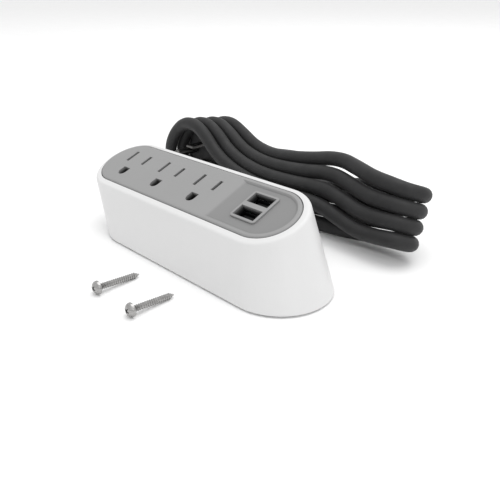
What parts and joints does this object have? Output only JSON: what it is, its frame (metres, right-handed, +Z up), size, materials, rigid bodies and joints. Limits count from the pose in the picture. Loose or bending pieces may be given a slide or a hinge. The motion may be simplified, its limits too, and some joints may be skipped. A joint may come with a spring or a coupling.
{
  "type": "desk power strip",
  "caption": "Desk power strip with a sloping top: grounded outlets, USB charging ports, a wound mains cord with its plug, and loose fixing screws.",
  "frame": {"origin": "middle of the rubber pad under the strip, on the desk, halfway along the housing", "axes": "+X along the strip towards the USB ports, +Y towards its back, +Z up"},
  "size_m": [0.2005, 0.22, 0.045],
  "materials": {
    "housing_plastic": "fine satin, white",
    "plate_plastic": "smooth matt, mid grey",
    "base_plastic": "matt, light grey",
    "carrier_plastic": "matt, dark grey",
    "shutter_plastic": "smooth, grey",
    "contact_brass": "stamped strip",
    "screw_steel": "zinc plated",
    "spring_steel": "drawn wire",
    "port_steel": "nickel-plated sheet",
    "tongue_plastic": "black moulding",
    "contact_gold": "thin gold plating",
    "board_laminate": "green solder mask",
    "winding_tape": "yellow tape on a grey core",
    "can_aluminium": "bare can",
    "foot_rubber": "soft, matt",
    "cord_rubber": "dark grey PVC jacket",
    "core_black": "smooth insulation",
    "core_white": "smooth insulation",
    "core_green": "smooth insulation",
    "core_red": "smooth insulation",
    "blade_metal": "nickel-plated brass"
  },
  "bodies": {
    "strip": {"housing_shell": "housing_plastic", "faceplate": "plate_plastic", "outlet_carrier": "carrier_plastic", "carrier_cover": "carrier_plastic", "carrier_screws": "screw_steel", "line_bus": "contact_brass", "neutral_bus": "contact_brass", "ground_bus": "contact_brass", "usb_port_shells": "port_steel", "usb_tongues": "tongue_plastic", "usb_contacts": "contact_gold", "charger_board": "board_laminate", "charger_transformer": "winding_tape", "charger_capacitors": "can_aluminium", "charger_board_screws": "screw_steel", "charger_feed_wires": "core_red", "base_plate": "base_plastic", "base_screws": "screw_steel", "rubber_feet": "foot_rubber", "cord_gland": "cord_rubber", "cord_clamp": "base_plastic", "clamp_screws": "screw_steel", "line_wire": "core_black", "neutral_wire": "core_white", "ground_wire": "core_green", "cord_lead": "cord_rubber", "cord_hank": "cord_rubber", "cord_tail": "cord_rubber", "plug_body": "cord_rubber", "plug_blades": "blade_metal", "plug_ground_pin": "blade_metal", "shutter_spring_1": "spring_steel", "shutter_spring_2": "spring_steel", "shutter_spring_3": "spring_steel"},
    "shutter_1": {"shutter_1": "shutter_plastic"},
    "shutter_2": {"shutter_2": "shutter_plastic"},
    "shutter_3": {"shutter_3": "shutter_plastic"},
    "loose_screws": {"fixing_screws": "screw_steel"}
  },
  "joints": [
    {"name": "shutter_1_slide", "type": "slide", "parent": "strip", "child": "shutter_1", "axis": [1, 0, 0], "range_m": [0, 0.0032], "stiffness_N_per_m": 60, "springref_m": -0.003, "deforming": ["shutter_spring_1"]},
    {"name": "shutter_2_slide", "type": "slide", "parent": "strip", "child": "shutter_2", "axis": [1, 0, 0], "range_m": [0, 0.0032], "stiffness_N_per_m": 60, "springref_m": -0.003, "deforming": ["shutter_spring_2"]},
    {"name": "shutter_3_slide", "type": "slide", "parent": "strip", "child": "shutter_3", "axis": [1, 0, 0], "range_m": [0, 0.0032], "stiffness_N_per_m": 60, "springref_m": -0.003, "deforming": ["shutter_spring_3"]},
    {"name": "loose_screws_lift", "type": "slide", "parent": "strip", "child": "loose_screws", "axis": [0, 0, 1], "range_m": [0, 0.03]}
  ]
}
